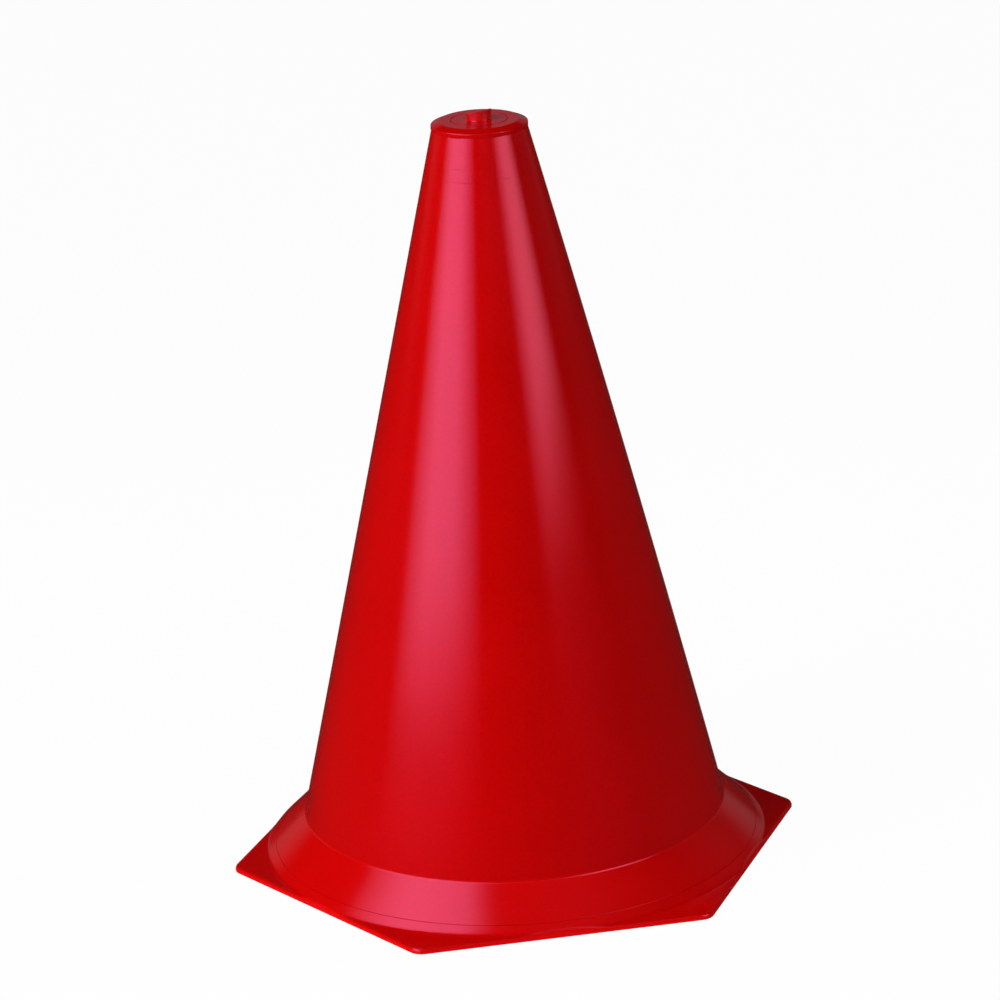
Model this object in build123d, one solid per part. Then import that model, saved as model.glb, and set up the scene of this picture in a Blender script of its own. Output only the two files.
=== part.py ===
from build123d import *
import math
import os

os.makedirs("parts", exist_ok=True)

# Sports marker cone: a hollow tapered shell on a hexagonal flange, with a snap-in top cap.
# Millimetres, +Z up, origin on the floor under the cone's axis, flange corners on the X axis.

# Height and taper of the cone
cone_height = 230.0             # floor to the flat top of the cap
wall_foot_radius = 64.8         # outside of the wall at the crease, where the skirt begins
neck_radius = 14.2              # outside of the wall at its top edge
wall_thickness = 2.0
foot_width = 3.0                # foot of the cone, standing on the flange under the collar
neck_land_wall = 3.2            # thickened ring inside the top of the cone
neck_land_height = 4.0

# Flange and its raised rim
flange_thickness = 1.7
flange_corner_radius = 4.5
flange_edge_radius = 0.6
flange_bore_land = 1.6          # plate left inside the cone's foot
foot_ledge = 0.1                # flat left at mid-side between the rim and the rounded edge
rim_height = 2.5
rim_draft = 1.5                 # how far the rim leans in over its height
rim_wall = 1.0                  # rim thickness at its top

# Skirt collar
skirt_run = 9.8                 # reach of the skirt from the crease to the seam on the rim
skirt_drop = 9.4
collar_thickness = 1.8
collar_spigot_wall = 1.6
mouth_lip_rise = 1.8            # feather edge of the collar above the crease
mouth_lip_thickness = 0.3

# Cap
cap_depth = 2.2                 # lip underside below the flat top
cap_lip_height = 1.2
cap_lip_overhang = 0.2
cap_bevel_width = 2.5
cap_floor = 1.8
cap_spigot_wall = 1.6
cap_spigot_tip = 0.8            # tapered end of the spigot below its snap bead

# Centre plug
plug_face_radius = 8.35
plug_face_thickness = 1.4
plug_stem_radius = 3.0
plug_stem_tip = 0.8             # tapered end of the stem below its snap bead
stub_radius = 3.7
stub_low = 1.5                  # stub height on the side towards -X
stub_high = 2.4                 # stub height on the side towards +X

# Fits
fit_gap = 0.1                   # clearance between pieces that slip together
seam_gap = 0.15                 # open line between the collar and the rim
snap_reach = 0.3                # how far a snap bead or an undercut stands out

# Levels
seam_height = flange_thickness + rim_height
crease_height = seam_height + skirt_drop
neck_height = cone_height - cap_depth
plug_seat_height = cone_height - plug_face_thickness

# Radii on the rim and the foot, from the skirt outwards and inwards
seam_radius = wall_foot_radius + skirt_run
rim_foot_radius = seam_radius + rim_draft
flange_inner_radius = rim_foot_radius + foot_ledge + flange_edge_radius
rim_bore = seam_radius - rim_wall
collar_spigot_radius = rim_bore - fit_gap
collar_spigot_bore = collar_spigot_radius - collar_spigot_wall
foot_outer_radius = collar_spigot_bore - fit_gap
foot_inner_radius = foot_outer_radius - foot_width
flange_bore = foot_inner_radius - flange_bore_land

# Radii inside the neck
land_bore = neck_radius - neck_land_wall
cap_spigot_radius = land_bore - fit_gap
cap_spigot_bore = cap_spigot_radius - cap_spigot_wall

# Lean of the wall and of the skirt, as radius lost for each millimetre of height
wall_lean = (wall_foot_radius - neck_radius) / (neck_height - crease_height)
skirt_lean = skirt_run / skirt_drop


def wall_radius(height, inset=0.0):
    return wall_foot_radius - wall_lean * (height - crease_height) - inset * math.hypot(1, wall_lean)


def skirt_radius(height, inset=0.0):
    return wall_foot_radius - skirt_lean * (height - crease_height) - inset * math.hypot(1, skirt_lean)


def skirt_level(radius, inset=0.0):
    return crease_height + (skirt_radius(crease_height, inset) - radius) / skirt_lean


def knee(wall_inset, skirt_inset):
    # Corner where a line beside the wall meets a line beside the skirt
    spread = skirt_radius(crease_height, skirt_inset) - wall_radius(crease_height, wall_inset)
    level = crease_height + spread / (skirt_lean - wall_lean)
    return wall_radius(level, wall_inset), level


def turned(*corners):
    # Each corner is a radius and a height
    outline = Polyline(*corners, close=True)
    return revolve(Plane.XZ * make_face(outline), Axis.Z)


def make_cone_body():
    # Tapered shell, flared at the foot so that the collar holds it down
    flare_outer = collar_thickness + fit_gap
    flare_inner = flare_outer + wall_thickness
    land_underside = neck_height - neck_land_height
    return turned(
        (foot_outer_radius, flange_thickness),
        (foot_outer_radius, skirt_level(foot_outer_radius, flare_outer)),
        knee(0.0, flare_outer),
        (neck_radius, neck_height),
        (land_bore, neck_height),
        (land_bore, land_underside),
        (wall_radius(land_underside, wall_thickness), land_underside),
        knee(wall_thickness, flare_inner),
        (foot_inner_radius, skirt_level(foot_inner_radius, flare_inner)),
        (foot_inner_radius, flange_thickness),
    )


def make_skirt_collar():
    # Flared ring with a feather edge on the wall and an undercut spigot that snaps into the rim
    shoulder = seam_height + seam_gap
    lip_top = crease_height + mouth_lip_rise
    lip_inset = -(fit_gap + mouth_lip_thickness)
    return turned(
        (collar_spigot_bore, flange_thickness),
        (collar_spigot_radius + snap_reach, flange_thickness),
        (collar_spigot_radius, shoulder),
        (skirt_radius(shoulder), shoulder),
        knee(lip_inset, 0.0),
        (wall_radius(lip_top, lip_inset), lip_top),
        (wall_radius(lip_top, -fit_gap), lip_top),
        knee(-fit_gap, collar_thickness),
        (collar_spigot_bore, skirt_level(collar_spigot_bore, collar_thickness)),
    )


def make_hex_flange():
    # Hexagonal plate with rounded corners, a round opening and a raised rim, undercut inside
    hexagon = RegularPolygon(flange_inner_radius, 6, major_radius=False)
    hexagon = fillet(hexagon.vertices(), flange_corner_radius)
    plate = extrude(hexagon, flange_thickness)
    plate = fillet(plate.edges().group_by(Axis.Z)[-1], flange_edge_radius)
    root = flange_thickness / 2
    rim = turned(
        (rim_bore + snap_reach, root),
        (rim_bore + snap_reach, flange_thickness),
        (rim_bore, seam_height),
        (seam_radius, seam_height),
        (rim_foot_radius, flange_thickness),
        (rim_foot_radius, root),
    )
    opening = extrude(Circle(flange_bore), flange_thickness)
    return plate + rim - opening


def make_top_cap():
    # Bevelled lid with a lip on the wall, a recess for the plug and a snap spigot below
    lip_radius = neck_radius + cap_lip_overhang
    recess_radius = plug_face_radius + fit_gap
    stem_bore = plug_stem_radius + fit_gap
    floor_underside = plug_seat_height - cap_floor
    bead_top = neck_height - neck_land_height - fit_gap
    bead_level = bead_top - snap_reach
    spigot_end = bead_level - cap_spigot_tip
    return turned(
        (cap_spigot_radius, neck_height),
        (lip_radius, neck_height),
        (lip_radius, neck_height + cap_lip_height),
        (lip_radius - cap_bevel_width, cone_height),
        (recess_radius, cone_height),
        (recess_radius, plug_seat_height),
        (stem_bore, plug_seat_height),
        (stem_bore, floor_underside),
        (cap_spigot_bore, floor_underside),
        (cap_spigot_bore, spigot_end),
        (cap_spigot_radius, spigot_end),
        (land_bore + snap_reach, bead_level),
        (cap_spigot_radius, bead_top),
    )


def make_centre_plug():
    # Round plug with a snap stem below and a short stub above, sheared off at a slant
    bead_top = plug_seat_height - cap_floor - fit_gap
    bead_level = bead_top - snap_reach
    stem_end = bead_level - plug_stem_tip
    blank = turned(
        (0, stem_end),
        (plug_stem_radius, stem_end),
        (plug_stem_radius + fit_gap + snap_reach, bead_level),
        (plug_stem_radius, bead_top),
        (plug_stem_radius, plug_seat_height),
        (plug_face_radius, plug_seat_height),
        (plug_face_radius, cone_height),
        (stub_radius, cone_height),
        (stub_radius, cone_height + stub_high),
        (0, cone_height + stub_high),
    )
    shear_slope = (stub_high - stub_low) / (2 * stub_radius)
    shear_middle = (0, 0, cone_height + (stub_high + stub_low) / 2)
    shear = Plane(origin=shear_middle, z_dir=(-shear_slope, 0, 1))
    return split(blank, shear, keep=Keep.BOTTOM)


export_step(make_cone_body(), "parts/cone_body.step")
export_step(make_top_cap(), "parts/top_cap.step")
export_step(make_centre_plug(), "parts/centre_plug.step")
export_step(make_skirt_collar(), "parts/skirt_collar.step")
export_step(make_hex_flange(), "parts/hex_flange.step")
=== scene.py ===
import math
import bmesh
import bpy
from mathutils import Matrix, Vector, noise


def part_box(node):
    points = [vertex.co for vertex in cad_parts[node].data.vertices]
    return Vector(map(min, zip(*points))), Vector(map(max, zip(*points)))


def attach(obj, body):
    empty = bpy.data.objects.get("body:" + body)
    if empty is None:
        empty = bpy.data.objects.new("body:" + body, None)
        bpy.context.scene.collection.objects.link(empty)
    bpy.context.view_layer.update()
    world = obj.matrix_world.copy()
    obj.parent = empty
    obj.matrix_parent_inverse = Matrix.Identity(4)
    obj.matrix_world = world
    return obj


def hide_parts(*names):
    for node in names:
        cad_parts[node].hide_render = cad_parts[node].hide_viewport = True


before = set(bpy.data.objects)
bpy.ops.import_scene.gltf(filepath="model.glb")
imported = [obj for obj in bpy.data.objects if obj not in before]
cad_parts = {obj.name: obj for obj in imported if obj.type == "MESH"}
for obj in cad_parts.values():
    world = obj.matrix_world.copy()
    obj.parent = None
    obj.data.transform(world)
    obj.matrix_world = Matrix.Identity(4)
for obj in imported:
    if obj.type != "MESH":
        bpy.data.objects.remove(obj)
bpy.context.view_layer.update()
mm = 0.001
mergeReach = 0.002 * mm

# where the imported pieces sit
bodyLow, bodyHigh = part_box("cone_body")
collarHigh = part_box("skirt_collar")[1]
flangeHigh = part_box("hex_flange")[1]
capLow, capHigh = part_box("top_cap")
plugLow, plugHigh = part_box("centre_plug")
plateTop = bodyLow.z
seamHeight = flangeHigh.z
neckHeight = bodyHigh.z
flatTop = capHigh.z
print("frame loaded:", ", ".join(sorted(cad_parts)))


# shader maths on sockets
class Signal:
    def __init__(self, tree, socket):
        self.tree = tree
        self.socket = socket

    def math(self, operation, first, second=0.0):
        step = addNode(self.tree, "ShaderNodeMath", {"operation": operation}, {0: first, 1: second})
        return Signal(self.tree, step.outputs[0])

    def __add__(self, other):
        return self.math("ADD", self, other)

    def __radd__(self, other):
        return self.math("ADD", other, self)

    def __sub__(self, other):
        return self.math("SUBTRACT", self, other)

    def __rsub__(self, other):
        return self.math("SUBTRACT", other, self)

    def __mul__(self, other):
        return self.math("MULTIPLY", self, other)

    def __rmul__(self, other):
        return self.math("MULTIPLY", other, self)

    def __pow__(self, other):
        return self.math("POWER", self, other)

    def __abs__(self):
        return self.math("ABSOLUTE", self)

    def most(self, other):
        return self.math("MAXIMUM", self, other)

    # 0 below low, 1 above high, smooth between
    def step(self, low, high):
        ramp = addNode(self.tree, "ShaderNodeMapRange", {"interpolation_type": "SMOOTHSTEP"},
                       {"Value": self, "From Min": low, "From Max": high})
        return Signal(self.tree, ramp.outputs[0])


def addNode(tree, kind, settings=None, inputs=None):
    node = tree.nodes.new(kind)
    for name, value in (settings or {}).items():
        setattr(node, name, value)
    for name, value in (inputs or {}).items():
        if isinstance(value, Signal):
            tree.links.new(value.socket, node.inputs[name])
        elif isinstance(value, bpy.types.NodeSocket):
            tree.links.new(value, node.inputs[name])
        else:
            node.inputs[name].default_value = value
    return node


def mixColour(tree, share, first, second):
    mix = addNode(tree, "ShaderNodeMix", {"data_type": "RGBA"}, {"Factor": share, 6: first, 7: second})
    return mix.outputs[2]


def noiseValue(tree, place, scale, detail=2.0, roughness=0.5, stretch=(1, 1, 1)):
    moved = addNode(tree, "ShaderNodeMapping", {}, {"Vector": place, "Scale": stretch})
    field = addNode(tree, "ShaderNodeTexNoise", {},
                    {"Vector": moved.outputs[0], "Scale": scale, "Detail": detail, "Roughness": roughness})
    return Signal(tree, field.outputs[0])


def axesOf(tree, vector):
    split = addNode(tree, "ShaderNodeSeparateXYZ", {}, {0: vector})
    return [Signal(tree, output) for output in split.outputs]


def facingUp(tree):
    return axesOf(tree, addNode(tree, "ShaderNodeNewGeometry").outputs["Normal"])[2]


# red plastic
plastic = {
    "red": (0.57, 0.0006, 0.0004, 1),
    "deepRed": (0.47, 0.0005, 0.0004, 1),
    "rubbed": (0.62, 0.070, 0.080, 1),
    "paintedLightRed": (0.74, 0.0020, 0.0016, 1),    # painted light: a lighter red on the skirt, the band and the flange's side faces
    "grooveShade": (0.22, 0.0005, 0.0004, 1),
    "gloss": 0.15,
    "glossChange": 0.06,
    "specular": 0.5,
    "specularTint": (1.0, 0.38, 0.72, 1),
    "grain": {"scale": 1250.0, "detail": 3.0, "roughness": 0.6},
    "clouds": {"scale": 26.0, "detail": 3.0, "roughness": 0.55},
    "streaks": {"scale": 90.0, "detail": 2.0, "roughness": 0.5, "stretch": (1, 1, 0.06)},
    "grainTone": 1.6,
    "cloudTone": 0.6,
    "streakTone": 0.3,
    "toneRange": (0.70, 1.80),
    "grainHeight": 0.6,
    "cloudHeight": 0.4,
    "bumpStrength": 0.13,
    "bumpDepth": 0.2 * mm,
    "grooveShadeShare": 0.38,
    "grooveRough": 0.10,
    "scratchPale": 0.35,
    "scratchRough": 0.20,
    "scratchDepth": 0.5,
}


# marks gives masks of grooves, darkened with painted shade, and scratches; glow a mask of painted light
def redPlastic(name, marks=None, glow=None):
    material = bpy.data.materials.new(name)
    material.use_nodes = True
    tree = material.node_tree
    shader = tree.nodes["Principled BSDF"]
    place = addNode(tree, "ShaderNodeTexCoord").outputs["Object"]
    grain = noiseValue(tree, place, **plastic["grain"])
    clouds = noiseValue(tree, place, **plastic["clouds"])
    streaks = noiseValue(tree, place, **plastic["streaks"])
    tone = clouds * plastic["cloudTone"] + streaks * plastic["streakTone"] + grain * plastic["grainTone"]
    colour = mixColour(tree, tone.step(*plastic["toneRange"]), plastic["deepRed"], plastic["red"])
    # painted light: where glow is high, the colour turns to a lighter red
    if glow:
        colour = mixColour(tree, glow(tree, place), colour, plastic["paintedLightRed"])
    change = plastic["glossChange"]
    rough = plastic["gloss"] + (clouds - 0.5) * change + (grain - 0.5) * change
    height = grain * plastic["grainHeight"] + clouds * plastic["cloudHeight"]
    if marks:
        groove, scratch = marks(tree, place)
        # painted shade: the grooves are darkened where their highlight would break
        colour = mixColour(tree, groove * plastic["grooveShadeShare"], colour, plastic["grooveShade"])
        colour = mixColour(tree, scratch * plastic["scratchPale"], colour, plastic["rubbed"])
        rough = rough + groove * plastic["grooveRough"] + scratch * plastic["scratchRough"]
        height = height - groove - scratch * plastic["scratchDepth"]
    bump = addNode(tree, "ShaderNodeBump", {}, {"Strength": plastic["bumpStrength"],
                                                "Distance": plastic["bumpDepth"], "Height": height})
    tree.links.new(colour, shader.inputs["Base Color"])
    tree.links.new(rough.socket, shader.inputs["Roughness"])
    tree.links.new(bump.outputs[0], shader.inputs["Normal"])
    shader.inputs["Specular IOR Level"].default_value = plastic["specular"]
    shader.inputs["Specular Tint"].default_value = plastic["specularTint"]
    return material


# mesh helpers
def makePiece(name, bm, node, material, sharpAngle=32):
    bmesh.ops.remove_doubles(bm, verts=bm.verts[:], dist=mergeReach)
    bmesh.ops.recalc_face_normals(bm, faces=bm.faces[:])
    for face in bm.faces:
        face.smooth = True
    mesh = bpy.data.meshes.new(name)
    bm.to_mesh(mesh)
    bm.free()
    mesh.set_sharp_from_angle(angle=math.radians(sharpAngle))
    mesh.materials.append(material)
    piece = bpy.data.objects.new(name, mesh)
    bpy.context.scene.collection.objects.link(piece)
    evenShading = piece.modifiers.new("evenShading", "WEIGHTED_NORMAL")
    evenShading.keep_sharp = True
    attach(piece, "root")
    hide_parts(node)
    print("piece", name, "faces", len(mesh.polygons))


# corners are radius, height and rounding; rows gives cuts for the stretch that starts at a corner
def spinProfile(corners, rows=None, steps=288, segments=5):
    bm = bmesh.new()

    def cornerVert(corner):
        return min(bm.verts, key=lambda vert: (vert.co - Vector((corner[0], 0, corner[1]))).length)

    verts = [bm.verts.new((corner[0], 0, corner[1])) for corner in corners]
    for first, second in zip(verts, verts[1:] + verts[:1]):
        bm.edges.new((first, second))
    for first, cuts in (rows or {}).items():
        ends = (cornerVert(corners[first]), cornerVert(corners[(first + 1) % len(corners)]))
        bmesh.ops.subdivide_edges(bm, edges=[bm.edges.get(ends)], cuts=cuts)
    for corner in corners:
        if len(corner) > 2:
            vert = cornerVert(corner)
            arms = [(edge.other_vert(vert).co - vert.co).normalized() for edge in vert.link_edges]
            reach = corner[2] * math.tan((math.pi - arms[0].angle(arms[1])) / 2)
            bmesh.ops.bevel(bm, geom=[vert], offset=reach, offset_type="OFFSET", segments=segments,
                            profile=0.5, affect="VERTICES", material=-1)
    bmesh.ops.spin(bm, geom=bm.verts[:] + bm.edges[:], cent=(0, 0, 0), axis=(0, 0, 1),
                   angle=2 * math.pi, steps=steps, use_merge=True)
    return bm


# cone shell
cone = {
    "creaseHeight": 13.6 * mm,
    "creaseRadius": 64.8 * mm,
    "neckRadius": 14.2 * mm,
    "neckRound": 0.1 * mm,
    "neckLandWall": 3.2 * mm,
    "neckLandHeight": 4.0 * mm,
    "wall": 2.0 * mm,
    "footWidth": 3.0 * mm,
    "footHeight": 2.6 * mm,
    "kneeHeight": 10.0 * mm,
    "kneeRound": 4.0 * mm,
    "barrel": 0.25 * mm,        # the wall swells and bows a little, from just above the crease
    "bow": 0.35 * mm,
    "bowAzimuth": math.radians(-10),
    "bowRise": 4.0 * mm,
    "rows": 28,
}

# marks near the top: height, angle from +X, reach along the angle, width, climb per degree
scuffs = {
    "groove": ((215.0, -122, 21, 0.26, 0.0), (218.8, -123, 10, 0.20, 0.0), (215.5, -75, 6, 0.13, -0.02),
               (211.1, -69.5, 0.8, 0.35, 0.0), (216.1, -39, 1.2, 0.3, 0.1)),
    "scratch": ((223.4, -70, 4.5, 0.16, -0.33), (222.3, -68, 3.5, 0.14, -0.36),
                (221.2, -71, 2.5, 0.14, -0.3)),
}
scuffEdges = {
    "wander": {"scale": 160.0, "detail": 2.0},
    "wanderReach": 0.5 * mm,
    "patches": {"scale": 420.0, "detail": 1.0, "roughness": 0.4},
    "patchRange": (0.22, 0.50),
    "fullWidth": 0.2,           # share of the width and of the reach at which a mark starts to fade
    "fullReach": 0.6,
}
wallLean = (cone["creaseRadius"] - cone["neckRadius"]) / (neckHeight - cone["creaseHeight"])


def wallRadius(height):
    return cone["creaseRadius"] - wallLean * (height - cone["creaseHeight"])


def scuffMarks(tree, place):
    east, north, height = axesOf(tree, place)
    angle = east.math("ARCTAN2", north, east) * math.degrees(1)
    wander = (noiseValue(tree, place, **scuffEdges["wander"]) - 0.5) * scuffEdges["wanderReach"]
    patchy = noiseValue(tree, place, **scuffEdges["patches"]).step(*scuffEdges["patchRange"])
    found = {}
    for kind, marks in scuffs.items():
        found[kind] = height * 0.0
        for level, middle, reach, width, climb in marks:
            along = angle - middle
            off = abs(height - level * mm - along * (climb * mm) + wander)
            across = 1 - off.step(scuffEdges["fullWidth"] * width * mm, width * mm)
            within = 1 - abs(along).step(scuffEdges["fullReach"] * reach, reach)
            found[kind] = found[kind].most(across * within)
    return found["groove"] * patchy, found["scratch"] * patchy


def buildCone():
    outerFoot = bodyHigh.x
    innerFoot = outerFoot - cone["footWidth"]
    footTop = plateTop + cone["footHeight"]
    innerLean = cone["wall"] * math.hypot(1, wallLean)
    landBore = cone["neckRadius"] - cone["neckLandWall"]
    landUnderside = neckHeight - cone["neckLandHeight"]
    innerKnee = cone["kneeHeight"] - cone["wall"] / 2
    profile = [
        (outerFoot, plateTop),
        (outerFoot, footTop),
        (wallRadius(cone["kneeHeight"]), cone["kneeHeight"], cone["kneeRound"]),
        (cone["neckRadius"], neckHeight, cone["neckRound"]),
        (landBore, neckHeight),
        (landBore, landUnderside),
        (wallRadius(landUnderside) - innerLean, landUnderside),
        (wallRadius(innerKnee) - innerLean, innerKnee, cone["kneeRound"]),
        (innerFoot, footTop),
        (innerFoot, plateTop),
    ]
    bm = spinProfile(profile, {2: cone["rows"], 6: cone["rows"]})
    bowFoot = cone["creaseHeight"] + cone["bowRise"]
    sideways = Vector((math.cos(cone["bowAzimuth"]), math.sin(cone["bowAzimuth"]), 0))
    for vert in bm.verts:
        up = min(max((vert.co.z - bowFoot) / (neckHeight - bowFoot), 0), 1)
        swell = 4 * up * (1 - up)
        radial = Vector((vert.co.x, vert.co.y, 0)).normalized()
        vert.co += radial * cone["barrel"] * swell + sideways * cone["bow"] * swell
    makePiece("coneShell", bm, "cone_body", redPlastic("wallPlastic", scuffMarks))


# cap
cap = {
    "lipHeight": 1.2 * mm,
    "bevelWidth": 2.5 * mm,
    "lipRound": 0.3 * mm,
    "seamRound": 0.15 * mm,
    "rimRound": 0.12 * mm,
    "ringRound": 0.22 * mm,
    "ringGap": 0.1 * mm,
    "seatDepth": 1.4 * mm,
    "floor": 1.8 * mm,
    "spigotGap": 0.1 * mm,
    "spigotWall": 1.6 * mm,
    "stemBore": 3.1 * mm,
    "bead": 0.4 * mm,
    "ragged": 0.28 * mm,        # flash along the seam
    "raggedZone": 0.3 * mm,
    "raggedInset": 0.4 * mm,
    "raggedDrop": 0.5,
    "raggedSpread": 0.10 * mm,
    "finePitch": 900.0,
    "fineShare": 0.8,
    "broadPitch": 270.0,
    "broadShare": 0.9,
    "broadStart": (5, 3, 1),
}


def buildCap():
    lipRadius = capHigh.x
    lipTop = neckHeight + cap["lipHeight"]
    recess = plugHigh.x + cap["ringGap"]
    seat = flatTop - cap["seatDepth"]
    floorUnder = seat - cap["floor"]
    spigot = cone["neckRadius"] - cone["neckLandWall"] - cap["spigotGap"]
    spigotBore = spigot - cap["spigotWall"]
    beadTop = neckHeight - cone["neckLandHeight"] - cap["spigotGap"]
    profile = [
        (spigot, neckHeight),
        (lipRadius, neckHeight, cap["seamRound"]),
        (lipRadius, lipTop, cap["lipRound"]),
        (lipRadius - cap["bevelWidth"], flatTop, cap["rimRound"]),
        (recess, flatTop, cap["ringRound"]),
        (recess, seat),
        (cap["stemBore"], seat),
        (cap["stemBore"], floorUnder),
        (spigotBore, floorUnder),
        (spigotBore, capLow.z),
        (spigot, capLow.z),
        (spigot + cap["bead"], beadTop - cap["bead"]),
        (spigot, beadTop),
    ]
    bm = spinProfile(profile)
    for vert in bm.verts:
        outside = math.hypot(vert.co.x, vert.co.y) - cone["neckRadius"]
        if abs(vert.co.z - neckHeight) < cap["raggedZone"] and outside > -cap["raggedInset"]:
            fine = noise.noise(vert.co * cap["finePitch"])
            broad = noise.noise(vert.co * cap["broadPitch"] + Vector(cap["broadStart"]))
            wave = cap["fineShare"] * fine + cap["broadShare"] * broad - cap["raggedDrop"]
            vert.co.z += cap["ragged"] * wave
            vert.co += Vector((vert.co.x, vert.co.y, 0)).normalized() * cap["raggedSpread"] * fine
    makePiece("topCap", bm, "top_cap", redPlastic("capPlastic"))


# centre plug with the sheared stub
plug = {
    "seatDepth": 1.4 * mm,
    "stemRadius": 3.0 * mm,
    "stemRound": 0.4 * mm,
    "faceRound": 0.22 * mm,
    "stubRadius": 3.7 * mm,
    "stubLow": 2.0 * mm,
    "stubHigh": 2.8 * mm,
    "stubBack": 0.22,           # how steeply the shorn end falls away to the back
    "stubRound": 0.25 * mm,
    "stubRows": 12,
    "steps": 144,
    "cutRise": 0.5 * mm,        # the open edge left by the cut lies above this
    "endInset": 0.25 * mm,
    "endRough": 0.06 * mm,
    "endPitch": 1500.0,
    "burr": 0.55 * mm,          # pulled over to the low side
    "burrRise": 0.6 * mm,
    "wave": 0.14 * mm,
    "wavePitch": 700.0,
    "paleRise": (0.2 * mm, 0.9 * mm),
    "paleSide": 0.25,
    "paleFacing": (0.5, 0.9),
}


# the stub is paler and rougher, most of all on its upward-facing shorn end
def stubPaleTop(tree, place):
    stub = (axesOf(tree, place)[2] - flatTop).step(*plug["paleRise"])
    shorn = facingUp(tree).step(*plug["paleFacing"])
    return stub * 0.0, stub * (shorn * (1 - plug["paleSide"]) + plug["paleSide"])


def buildPlug():
    seat = flatTop - plug["seatDepth"]
    blankTop = flatTop + plug["stubHigh"] + plug["stubRadius"]
    slope = (plug["stubHigh"] - plug["stubLow"]) / (2 * plug["stubRadius"])
    profile = [
        (0, plugLow.z),
        (plug["stemRadius"], plugLow.z, plug["stemRound"]),
        (plug["stemRadius"], seat),
        (plugHigh.x, seat),
        (plugHigh.x, flatTop, plug["faceRound"]),
        (plug["stubRadius"], flatTop, plug["stubRound"]),
        (plug["stubRadius"], blankTop),
        (0, blankTop),
    ]
    bm = spinProfile(profile, {5: plug["stubRows"]}, steps=plug["steps"])
    bmesh.ops.remove_doubles(bm, verts=bm.verts[:], dist=mergeReach)
    middle = Vector((0, 0, flatTop + (plug["stubHigh"] + plug["stubLow"]) / 2))
    bmesh.ops.bisect_plane(bm, geom=bm.verts[:] + bm.edges[:] + bm.faces[:], plane_co=middle,
                           plane_no=(-slope, plug["stubBack"], 1), clear_outer=True)
    cut = [edge for edge in bm.edges if edge.is_boundary and edge.verts[0].co.z > flatTop + plug["cutRise"]]
    lid = bmesh.ops.contextual_create(bm, geom=cut)["faces"]
    inner = bmesh.ops.inset_region(bm, faces=lid, thickness=plug["endInset"], depth=0.0)["faces"]
    for vert in {vert for face in inner for vert in face.verts}:
        vert.co.z += plug["endRough"] * noise.noise(vert.co * plug["endPitch"])
    for vert in bm.verts:
        rise = vert.co.z - flatTop
        if rise > plug["burrRise"]:
            nearEnd = min(1, rise / plug["stubLow"]) ** 4
            vert.co.x -= plug["burr"] * max(0, -vert.co.x / plug["stubRadius"]) ** 3 * nearEnd
            wave = noise.noise(Vector((vert.co.x, vert.co.y, 0)) * plug["wavePitch"])
            vert.co.z += plug["wave"] * wave * nearEnd
    makePiece("centrePlug", bm, "centre_plug", redPlastic("plugPlastic", stubPaleTop))


# skirt collar
collar = {
    "creaseRound": 1.0 * mm,
    "feather": 0.03 * mm,
    "featherInside": 0.3,       # share of the feather left between its inner side and the wall
    "featherTop": 14.2 * mm,
    "throatGap": 0.1 * mm,
    "seamRound": 0.08 * mm,
    "seamLine": 0.035 * mm,
    "spigotWall": 1.6 * mm,
    "spigotGap": 0.1 * mm,
    "undercut": 0.3 * mm,
    "thickness": 1.8 * mm,
    "shoulder": 0.15 * mm,
    "skirtRows": 4,
    "segments": 10,
    # painted light: how much lighter the skirt's colour is, and how unevenly
    "glow": 0.21,
    "glowChange": 0.1,
    "glowPitch": 40.0,
}
shoulderRadius = collarHigh.x
skirtDrop = cone["creaseHeight"] - seamHeight - collar["shoulder"]
skirtLean = (shoulderRadius - cone["creaseRadius"]) / skirtDrop
seamRadius = shoulderRadius + skirtLean * collar["shoulder"]


def skirtRadius(height):
    return cone["creaseRadius"] + skirtLean * (cone["creaseHeight"] - height)


# painted light: the whole skirt is painted lighter, a little unevenly
def skirtPaintedLight(tree, place):
    return noiseValue(tree, place, collar["glowPitch"]) * collar["glowChange"] + collar["glow"]


def buildCollar():
    spigotBore = bodyHigh.x + collar["spigotGap"]
    spigot = spigotBore + collar["spigotWall"]
    inset = collar["thickness"] * math.hypot(1, skirtLean)
    seamLine = seamHeight + collar["seamLine"]
    feather = collar["feather"]
    featherTop = collar["featherTop"]
    innerCorner = cone["creaseHeight"] + (skirtRadius(cone["creaseHeight"]) - inset - spigotBore) / skirtLean
    throat = cone["creaseHeight"] - inset / (skirtLean - wallLean)
    profile = [
        (spigotBore, plateTop),
        (spigot + collar["undercut"], plateTop),
        (spigot, seamLine),
        (skirtRadius(seamLine), seamLine, collar["seamRound"]),
        (cone["creaseRadius"] + feather, cone["creaseHeight"], collar["creaseRound"]),
        (wallRadius(featherTop) + feather, featherTop),
        (wallRadius(featherTop) + collar["featherInside"] * feather, featherTop),
        (wallRadius(throat) + collar["throatGap"], throat),
        (spigotBore, innerCorner),
    ]
    bm = spinProfile(profile, {3: collar["skirtRows"]}, segments=collar["segments"])
    makePiece("skirtCollar", bm, "skirt_collar", redPlastic("skirtPlastic", glow=skirtPaintedLight))


# hexagonal flange
flange = {
    "cornerRound": 4.5 * mm,
    "edgeRound": 0.9 * mm,
    "edgeStep": 15,             # degrees
    "footRadius": 77.2 * mm,
    "footBlend": 0.28 * mm,
    "rimWall": 1.0 * mm,
    "rimLap": 0.12 * mm,
    "undercut": 0.3 * mm,
    "boreLand": 1.6 * mm,
    "boreRound": 0.1 * mm,
    "bottomRound": 0.35 * mm,
    "bottomMiddle": 0.07 * mm,
    "spokes": 720,
    "topRings": 26,
    "ringSpread": 1.5,
    "sharpAngle": 40,
    # painted light on the band under the seam and on the side faces of the outer edge
    "bandPaintedLight": 0.26,
    "bandRise": (0.2 * mm, 0.8 * mm),
    "edgeInset": (1.2 * mm, 0.4 * mm),
    "edgeFacing": (0.1, 0.7),
}


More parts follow.
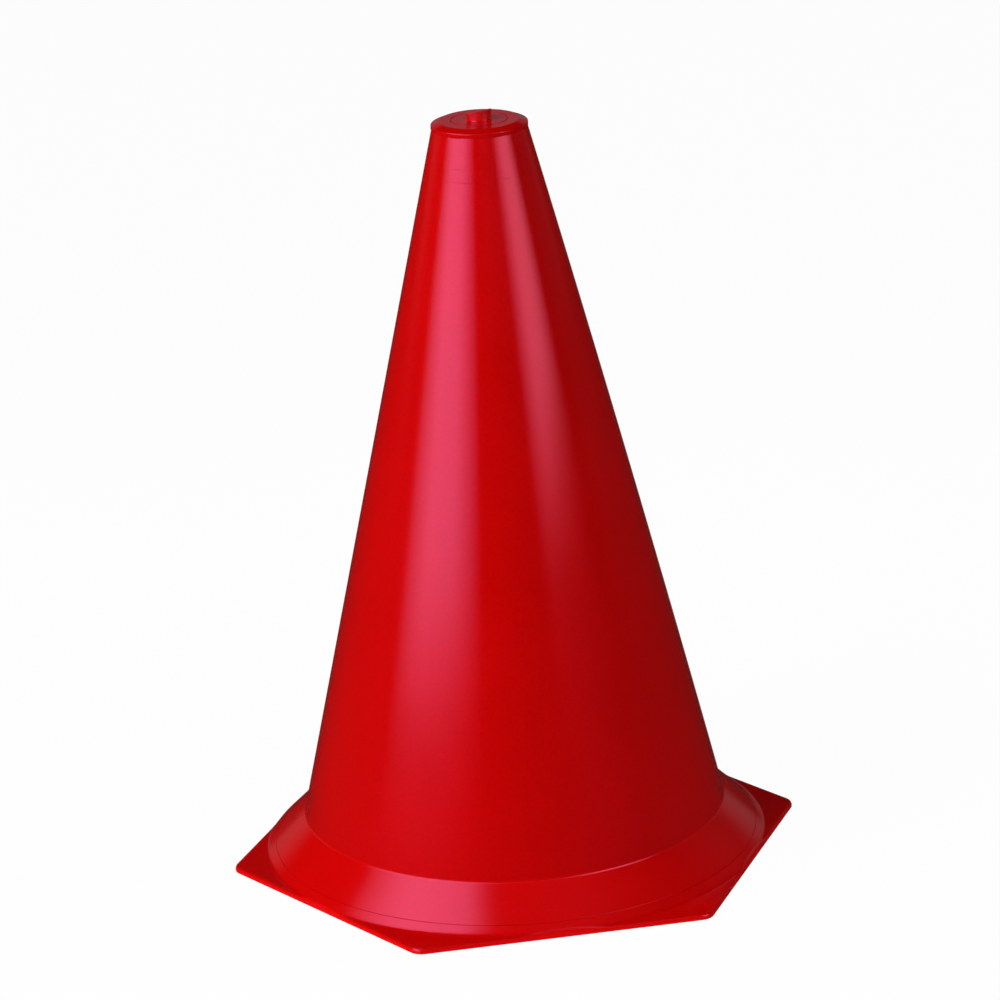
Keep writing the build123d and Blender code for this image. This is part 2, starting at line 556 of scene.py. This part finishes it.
# distance from the axis to the rounded hexagon, along an angle
def hexReach(angle):
    flat = flangeHigh.y
    cornerRound = flange["cornerRound"]
    side = math.pi / 3
    fromCorner = (angle + side / 2) % side - side / 2
    fromFlat = side / 2 - abs(fromCorner)
    centre = (flat - cornerRound) / math.cos(side / 2)
    if flat * math.tan(fromFlat) <= centre * math.sin(side / 2):
        return flat / math.cos(fromFlat)
    return centre * math.cos(fromCorner) + math.sqrt(cornerRound ** 2 - (centre * math.sin(fromCorner)) ** 2)


# the band runs down from the seam into the plate, and the plate is rounded at its edge
def flangeTop(radius, edgeDistance):
    slope = (seamHeight - plateTop) / (flange["footRadius"] - seamRadius)
    gap = seamHeight - (radius - seamRadius) * slope - plateTop
    height = plateTop + 0.5 * (gap + math.hypot(gap, flange["footBlend"]))
    drop = max(0.0, flange["edgeRound"] - edgeDistance)
    return height - flange["edgeRound"] + math.sqrt(flange["edgeRound"] ** 2 - drop ** 2)


# painted light: the band under the seam and the side faces of the thin outer edge are painted lighter
def flangePaintedLight(tree, place):
    east, north, height = axesOf(tree, place)
    radius = (east * east + north * north) ** 0.5
    outside = radius.step(*(flangeHigh.y - inset for inset in flange["edgeInset"]))
    band = height.step(*(plateTop + rise for rise in flange["bandRise"]))
    return ((1 - facingUp(tree).step(*flange["edgeFacing"])) * outside).most(band * flange["bandPaintedLight"])


def buildFlange():
    edgeRound = flange["edgeRound"]
    bore = bodyHigh.x - cone["footWidth"] - flange["boreLand"]
    rimInner = seamRadius - flange["rimWall"]

    def circle(radius, height):
        return lambda angle: (radius, height)

    def onTop(share):
        def ring(angle):
            radius = seamRadius + (hexReach(angle) - edgeRound - seamRadius) * share
            return radius, flangeTop(radius, edgeRound)
        return ring

    def onEdge(inset):
        def ring(angle):
            radius = hexReach(angle) - inset
            return radius, flangeTop(radius, inset)
        return ring

    def below(inset, height):
        return lambda angle: (hexReach(angle) - inset, height)

    # from the seam outwards, round the edge, under the plate and up inside the rim
    rings = [circle(seamRadius - flange["rimLap"], seamHeight)]
    rings += [onTop((i / flange["topRings"]) ** flange["ringSpread"]) for i in range(flange["topRings"] + 1)]
    edgeTurns = range(flange["edgeStep"], 91, flange["edgeStep"])
    rings += [onEdge(edgeRound * math.cos(math.radians(turn))) for turn in edgeTurns]
    rings += [below(0, flange["bottomRound"]), below(flange["bottomMiddle"], flange["bottomMiddle"]),
              below(flange["bottomRound"], 0)]
    rings += [circle(bore + flange["boreRound"], 0), circle(bore, flange["boreRound"])]
    rings += [circle(bore, plateTop)]
    rings += [circle(rimInner + flange["undercut"], plateTop), circle(rimInner, seamHeight)]
    bm = bmesh.new()
    bmesh.ops.create_circle(bm, segments=flange["spokes"], radius=1)
    firstLoop = bm.edges[:]
    loop = firstLoop
    for index, ring in enumerate(rings):
        if index > 0:
            grown = bmesh.ops.extrude_edge_only(bm, edges=loop)["geom"]
            loop = [item for item in grown
                    if isinstance(item, bmesh.types.BMEdge) and len(item.link_faces) == 1]
        for vert in {vert for edge in loop for vert in edge.verts}:
            angle = math.atan2(vert.co.y, vert.co.x)
            radius, height = ring(angle)
            vert.co = (radius * math.cos(angle), radius * math.sin(angle), height)
    bmesh.ops.bridge_loops(bm, edges=firstLoop + loop)
    material = redPlastic("flangePlastic", glow=flangePaintedLight)
    makePiece("hexFlange", bm, "hex_flange", material, flange["sharpAngle"])


buildCone()
buildCap()
buildPlug()
buildCollar()
buildFlange()

# camera fitted to the photograph's outline
view = {
    "lens": 162.0,
    "sensor": 36.0,
    "clipStart": 0.05,
    "distance": 1.36145,
    "aimHeight": 0.115,
    "azimuth": -9.540,
    "elevation": 18.902,
    "pan": -0.015,
    "tilt": -0.151,
    "roll": 2.976,
}


def buildCamera():
    data = bpy.data.cameras.new("camera")
    data.lens = view["lens"]
    data.sensor_width = view["sensor"]
    data.clip_start = view["clipStart"]
    camera = bpy.data.objects.new("camera", data)
    bpy.context.scene.collection.objects.link(camera)
    angles = {name: math.radians(view[name]) for name in ("azimuth", "elevation", "pan", "tilt", "roll")}
    turn = (Matrix.Rotation(angles["azimuth"], 4, "Z")
            @ Matrix.Rotation(math.pi / 2 - angles["elevation"], 4, "X"))
    fine = (Matrix.Rotation(angles["pan"], 4, "Y") @ Matrix.Rotation(angles["tilt"], 4, "X")
            @ Matrix.Rotation(-angles["roll"], 4, "Z"))
    back = turn @ Vector((0, 0, view["distance"]))
    camera.matrix_world = Matrix.Translation(Vector((0, 0, view["aimHeight"])) + back) @ turn @ fine
    bpy.context.scene.camera = camera


# floor and light; satin plastic mirrors a dimmer room than the white that the camera sees
studio = {
    "floorSize": 8.0,
    "tableTone": (0.90, 0.90, 0.90, 1),
    "beyondTone": (0.45, 0.45, 0.45, 1),
    "tableEdge": (0.2, 0.8),        # where the pale table stops throwing light back
    "floorGlow": 0.97,
    "white": 1.0,
    "floorMirror": 0.015,
    "backdropMirror": 0.15,
    "backdropDepth": (0.1, 0.7),    # the mirrored backdrop is behind the cone, and low
    "backdropHeight": (0.14, 0.28),
    "roomMirror": 0.006,
    "fill": 0.03,
    "featherLayers": 5,
    "layerGap": 0.02,
}

# lamps seen from the camera: azimuth to the right, elevation, distance, width and height, radiance
lamps = {
    "keySoftbox": {"azimuth": -62, "elevation": 30, "distance": 1.7, "size": (1.4, 1.6),
                   "level": 4.6, "gloss": False},
    "frontFill": {"azimuth": 20, "elevation": 38, "distance": 1.0, "size": (0.9, 0.7),
                  "level": 1.9, "gloss": False},
    "rightFill": {"azimuth": 114, "elevation": 14, "distance": 1.3, "size": (1.2, 0.7),
                  "level": 1.35, "gloss": False},
    "backFill": {"azimuth": 180, "elevation": 30, "distance": 2.0, "size": (1.8, 1.4),
                 "level": 0.08, "gloss": False},
    "leftPanel": {"azimuth": -53, "elevation": 31.6, "roll": 8, "distance": 1.2, "size": (1.56, 1.44),
                  "feather": 0.58, "level": 4.4, "matte": False, "colour": (0.93, 0.83, 1.0)},
    "rightPanel": {"azimuth": 53.5, "elevation": 24.3, "distance": 1.2, "size": (1.02, 0.78),
                   "feather": 0.6, "level": 6.1, "matte": False, "colour": (1.0, 0.56, 0.54)},
    "backCard": {"azimuth": 180, "elevation": 28, "distance": 0.68, "size": (0.5, 0.18),
                 "level": 0.18, "matte": False, "colour": (0.80, 0.62, 0.80)},
}


# a feathered lamp is a stack of ever narrower ones
def addLamp(name, lamp):
    around = math.radians(view["azimuth"] + lamp["azimuth"])
    up = math.radians(lamp["elevation"])
    turn = Matrix.Rotation(around, 4, "Z") @ Matrix.Rotation(math.pi / 2 - up, 4, "X")
    middle = turn @ Vector((0, 0, lamp["distance"])) + Vector((0, 0, view["aimHeight"]))
    turn = turn @ Matrix.Rotation(math.radians(lamp.get("roll", 0)), 4, "Z")
    layers = studio["featherLayers"] if "feather" in lamp else 1
    for layer in range(layers):
        light = bpy.data.lights.new(name, "AREA")
        light.shape = "RECTANGLE"
        light.size = lamp["size"][0] * (1 - lamp.get("feather", 0) * layer / max(1, layers - 1))
        light.size_y = lamp["size"][1]
        light.energy = lamp["level"] / layers * math.pi * light.size * light.size_y
        light.color = lamp.get("colour", (1, 1, 1))
        holder = bpy.data.objects.new(name, light)
        bpy.context.scene.collection.objects.link(holder)
        outward = Matrix.Translation((0, 0, studio["layerGap"] * layer))
        holder.matrix_world = Matrix.Translation(middle) @ turn @ outward
        holder.visible_camera = False
        holder.visible_glossy = lamp.get("gloss", True)
        holder.visible_diffuse = lamp.get("matte", True)


# what the camera sees, and what the gloss sees
def lightPath(tree):
    path = addNode(tree, "ShaderNodeLightPath")
    straight = Signal(tree, path.outputs["Is Camera Ray"])
    seen = straight.most(Signal(tree, path.outputs["Is Transmission Ray"]))
    return seen, Signal(tree, path.outputs["Is Glossy Ray"])


def mixShader(tree, share, first, second):
    return addNode(tree, "ShaderNodeMixShader", {}, {0: share, 1: first.outputs[0], 2: second.outputs[0]})


def paleFloor():
    material = bpy.data.materials.new("paleFloor")
    material.use_nodes = True
    tree = material.node_tree
    tree.nodes.remove(tree.nodes["Principled BSDF"])
    seen, mirrored = lightPath(tree)
    place = addNode(tree, "ShaderNodeTexCoord").outputs["Object"]
    distance = addNode(tree, "ShaderNodeVectorMath", {"operation": "LENGTH"}, {0: place}).outputs["Value"]
    beyond = Signal(tree, distance).step(*studio["tableEdge"])
    colour = mixColour(tree, beyond, studio["tableTone"], studio["beyondTone"])
    matte = addNode(tree, "ShaderNodeBsdfDiffuse", {}, {"Color": colour})
    white = addNode(tree, "ShaderNodeEmission", {}, {"Strength": studio["white"]})
    dim = addNode(tree, "ShaderNodeEmission", {}, {"Strength": studio["floorMirror"]})
    mix = mixShader(tree, mirrored, mixShader(tree, seen * studio["floorGlow"], matte, white), dim)
    tree.links.new(mix.outputs[0], tree.nodes["Material Output"].inputs[0])
    return material


def buildFloor():
    bm = bmesh.new()
    bmesh.ops.create_grid(bm, x_segments=2, y_segments=2, size=studio["floorSize"] / 2)
    mesh = bpy.data.meshes.new("floor")
    bm.to_mesh(mesh)
    bm.free()
    mesh.materials.append(paleFloor())
    floor = bpy.data.objects.new("floor", mesh)
    bpy.context.scene.collection.objects.link(floor)


def buildWorld():
    world = bpy.data.worlds.new("studioWorld")
    world.use_nodes = True
    bpy.context.scene.world = world
    tree = world.node_tree
    seen, mirrored = lightPath(tree)
    toward = axesOf(tree, addNode(tree, "ShaderNodeTexCoord").outputs["Generated"])
    behind = toward[1].step(*studio["backdropDepth"])
    low = 1 - toward[2].step(*studio["backdropHeight"])
    glow = {name: addNode(tree, "ShaderNodeBackground", {}, {"Color": (1, 1, 1, 1), "Strength": studio[name]})
            for name in ("white", "backdropMirror", "roomMirror", "fill")}
    room = mixShader(tree, behind * low, glow["roomMirror"], glow["backdropMirror"])
    around = mixShader(tree, mirrored, glow["fill"], room)
    sky = mixShader(tree, seen, around, glow["white"])
    tree.links.new(sky.outputs[0], tree.nodes["World Output"].inputs[0])


buildCamera()
buildFloor()
buildWorld()
for lampName, lampValues in lamps.items():
    addLamp(lampName, lampValues)
bpy.context.scene.view_settings.view_transform = "Standard"
print("camera, floor and lights set")
